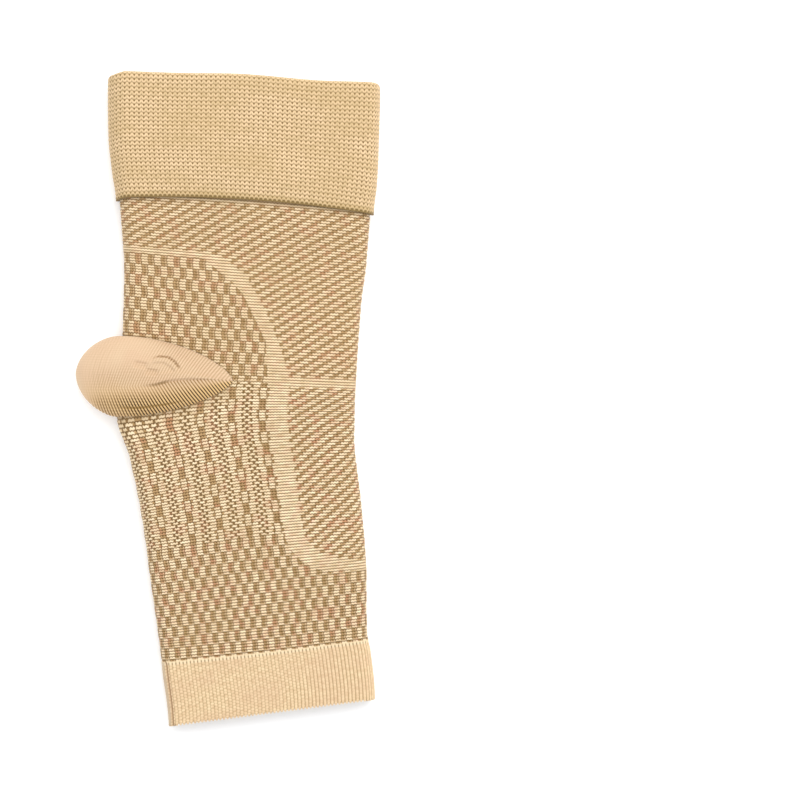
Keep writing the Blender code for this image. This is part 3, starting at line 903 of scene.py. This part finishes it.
def heel_ribs(x, y):
    """Height of the pouch's ribs, and how strong they are, at a place in millimetres. The ribs
    slope away from the fold on both sides of it, and lie closer and steeper at the back."""
    back = HEEL_TIP_X - x
    below = line_through(back, FOLD_LINE) - y
    origin = back + (RIB_LEAN - RIB_LEAN_LOSS * back) * abs(below)
    stitch = ridge(part(y / RIB_STITCH)) ** 0.6
    near_tip = rise(back, 36, 18)
    height = ridge(part(origin * (RIB_RATE + RIB_RATE_GAIN * origin))) ** 0.7
    height = height * (1 - 0.3 * (1 - near_tip) * (1 - stitch))
    lower = rise(below, -0.3, 0.3)
    strength = lower * (0.5 + 0.5 * most(near_tip, rise(below, 0, 5)))
    strength = strength + (1 - lower) * (0.14 + 0.36 * most(rise(below, -11, -2), near_tip))
    return height, strength * rise(back, 54, 45)


def heel_creases(rib, cross):
    """The deep crease that runs back from the tip, the soft wrinkle above it, and the tuck that
    runs along under it."""
    fold = stroke(cross, line_through(rib, HEEL_FOLD) / 100, 0.016) * rise(rib, 18, 9)
    wrinkle = stroke(cross, line_through(rib, HEEL_WRINKLE) / 100, 0.018)
    wrinkle = wrinkle * rise(rib, 6.5, 8) * rise(rib, 14.5, 12.5)
    tuck = stroke(cross, line_through(rib, HEEL_TUCK) / 100, 0.022) * rise(rib, 8, 14)
    return fold * rise(rib, 0.5, 4), wrinkle, tuck * rise(rib, 29, 22)


def outward_of(points, top):
    """The direction square to a grid of points at each of them, on the side that faces up at
    the point with the row and column of top."""
    normal = np.cross(np.gradient(points, axis=0), np.gradient(points, axis=1))
    length = np.linalg.norm(normal, axis=-1, keepdims=True)
    normal = normal / np.where(length > 1e-9, length, 1)
    return normal * np.sign(normal[top][2])


# Columns follow the ribs round from one tip of the opening over the back fold to the other.
on_top = leg_wales < WALES
tip_wale = np.interp(HEEL_OPENING_TIP, across_ankle(leg_wales)[on_top], leg_wales[on_top])
rib_above = np.arange(HEEL_RIBS * RIB_STEPS) / RIB_STEPS
rib = np.append(rib_above, HEEL_RIBS + np.arange(HEEL_RIBS * 2 + 1) / 2)
from_fold = tip_wale * (1 - rib / HEEL_RIBS)
above = from_fold >= 0
heel_wales = np.where(above, from_fold, 2 * WALES + from_fold)
x = across_ankle(heel_wales)
roll_start = BODY_ROLL - ANKLE_WIDTH / 2
on_flat = np.clip((HEEL_OPENING_TIP - x) / (HEEL_OPENING_TIP - roll_start), 0, 1)
column = FLAT_COLUMNS * np.sqrt(on_flat)
column = np.where(above, column, HEEL_COLUMNS - column)
turn = np.arcsin(np.clip((roll_start - x) / BODY_ROLL, 0, 1)) / (math.pi / 2)
in_fold = FLAT_COLUMNS + FOLD_COLUMNS * np.where(above, turn, 2 - turn)
share = np.where(x > roll_start, column, in_fold) / HEEL_COLUMNS
apex = smooth_table(HEEL_APEX, share * (len(HEEL_APEX) - 1))
gape = heel_opening_share(heel_wales)
lap = HEEL_SEAM_LAP * rise(gape, 0, 0.25)
upper_lip = ANKLE_LINE + HEEL_OPENING_UPPER * gape + lap
lower_lip = ANKLE_LINE - HEEL_OPENING_LOWER * gape - lap
both_lips = np.array([upper_lip, lower_lip])
lips = tube_points(TUBE_SHAPE, heel_wales, both_lips, 0 * rib - HEEL_PROUD)
middle = lips.mean(axis=0)
half = (lips[0] - lips[1]) / 2
peak = np.stack([
    HEEL_OPENING_TIP - apex[:, 1] * HEEL_REACH,
    middle[:, 1] + apex[:, 1] * HEEL_LIFT,
    apex[:, 2] * HEEL_LOFT,
], axis=-1)
bulge = (peak - middle) * rise(np.minimum(share, 1 - share), 0, 0.04)[:, None]

# Rows run from the upper lip to the lower one, and then back along the lining.
place = np.linspace(0, 1, HEEL_ROWS)
angle = (place * math.pi)[:, None, None]
fullness = (HEEL_OUTLINE - HEEL_FULLNESS) * rise(share, 0.28, 0.36)[None, :, None]
fullness = HEEL_FULLNESS + fullness
side = np.sign(np.cos(angle)) * np.abs(np.cos(angle)) ** fullness
outward = np.abs(np.sin(angle)) ** (fullness * (1, 1, 0) + (0, 0, HEEL_FULLNESS))
skin = middle + half * side + bulge * outward
normal = outward_of(skin, top=(HEEL_ROWS // 2, HEEL_RIBS * RIB_STEPS // 2))
cross = place[:, None] + 0 * rib
height, strength = heel_ribs(skin[..., 0] + BRACE_X, skin[..., 1] + BRACE_Y)
fold, wrinkle, tuck = heel_creases(rib, cross)
puff = stroke(cross, line_through(rib, HEEL_FOLD) / 100 - 0.05, 0.045) * rise(rib, 17, 9)
ruck = stroke(cross, line_through(rib, HEEL_WRINKLE) / 100 + 0.05, 0.04)
ruck = ruck * rise(abs(rib - 10.5), 4, 2)
depth = HEEL_GROOVE * (1 - height) * strength
depth = depth + FOLD_DEPTH * fold + WRINKLE_DEPTH * wrinkle + TUCK_DEPTH * tuck
depth = depth - PUFF_HEIGHT * (puff + ruck)
for across, long, at_rib, wide in HEEL_HOLLOWS:
    depth = depth + HOLLOW_DEPTH * stroke(cross, across, long) * stroke(rib, at_rib, wide)
taper = rise(np.minimum(rib, 2 * HEEL_RIBS - rib), 0, 3)
outer = skin - normal * (depth * taper)[..., None]
lining = (skin - normal * HEEL_WALL * taper[None, :, None])[::-HEEL_LINING_STEP]
points = np.concatenate([outer, lining])
points[:, 0] = lips[0][0]
points[:, -1] = lips[0][-1]
points[..., 2] = np.maximum(points[..., 2], HEEL_FLOOR)
course = np.append(place, place[::-HEEL_LINING_STEP])[:, None] * HEEL_COURSES + 0 * rib
inner = (np.arange(len(points)) >= len(outer))[:, None] + 0 * rib
heel = knit_sheet("heel_pocket_knit", points, rib[None, :] + 0 * course, course, inner, False)
material, rib, course = yarn_material("heel_yarn", sheen=0.1)
place = course / HEEL_COURSES
x, y = (1 / MILLIMETRE * wire for wire in coordinates(rib.node("TexCoord", out=3)))
height, strength = heel_ribs(x, y)
fold, wrinkle, tuck = heel_creases(rib, place)
under = rise(place, 0.5, 0.82) * rise(rib, 40, 22)
pores = rise(ridge(part(course * 0.75)) * ridge(part(rib * 1.5)), 0.5, 0.1)
# Painted shade in the grooves between the ribs, deeper on the lower side and away from the back.
groove = mix(GROOVE_SHADE, DEEP_GROOVE_SHADE, rise(place, 0.6, 0.8) * rise(rib, 34, 20))
dotted = 0.2 + 0.6 * rise(ridge(part(rib * 1.3)), 0.9, 0.2)
colour = mix(HEEL_YARN, HEEL_BLUSH, mottle(rib, course, 9, 14) * 0.45)
# Painted shade in the knit's small pores.
colour = mix(colour, HEEL_PORE_SHADE, pores * 0.22)
colour = mix(colour, HEEL_UNDER, under * 0.8)
colour = mix(colour, groove, rise(height, 1.0, 0.45) * strength)
colour = mix(colour, TUCK_SHADE, tuck * 0.55)
creases = most(fold * 0.7 * stroke(rib, 11.5, 2.5), wrinkle * dotted)
colour = mix(colour, FOLD_SHADE, creases)
relief = 1 - (1 - height) * strength
dress(heel, material, colour, relief, 0.8 + 0.1 * (1 - relief))
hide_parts("heel_pocket")
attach(heel, "root")
